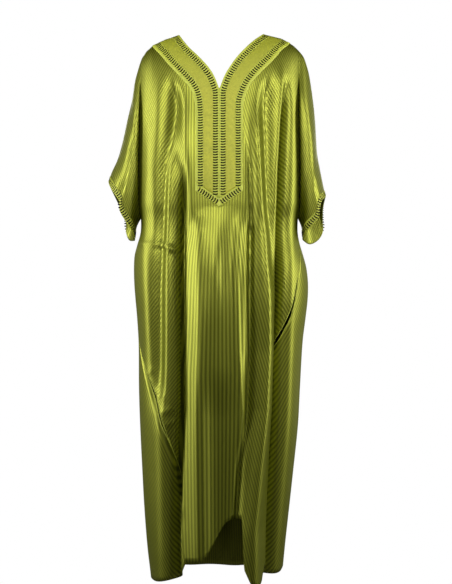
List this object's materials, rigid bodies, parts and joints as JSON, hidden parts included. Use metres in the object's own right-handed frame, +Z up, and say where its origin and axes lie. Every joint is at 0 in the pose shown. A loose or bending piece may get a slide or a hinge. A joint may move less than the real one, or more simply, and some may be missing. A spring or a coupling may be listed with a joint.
{
  "type": "djellaba",
  "caption": "Ankle-length djellaba, filled out with no wearer: V neck with long braided placket, wide short sleeves and side seams with hand slits.",
  "frame": {"origin": "on the shoulder line, midway between the two ends of the neckline", "axes": "+Z up, -Y towards the front of the garment, +X to the viewer's right when facing the front"},
  "size_m": [0.5668, 0.3028, 1.4172],
  "materials": {
    "satin": "lime green satin with a fine self-coloured stripe, soft sheen",
    "gold_band": "light golden green woven band, fine ribs",
    "dark_braid": "light ladder braid with near-black olive rungs"
  },
  "bodies": {
    "root": {"front_panel": "satin", "back_panel": "satin", "sleeve_left": "satin", "sleeve_right": "satin", "inner_braid_left": "dark_braid", "inner_braid_right": "dark_braid", "inner_braid_back": "dark_braid", "broad_band_left": "gold_band", "broad_band_right": "gold_band", "broad_band_back": "gold_band", "outer_braid_front": "dark_braid", "outer_braid_back": "dark_braid", "cuff_braid_left": "dark_braid", "cuff_braid_right": "dark_braid"}
  },
  "joints": []
}
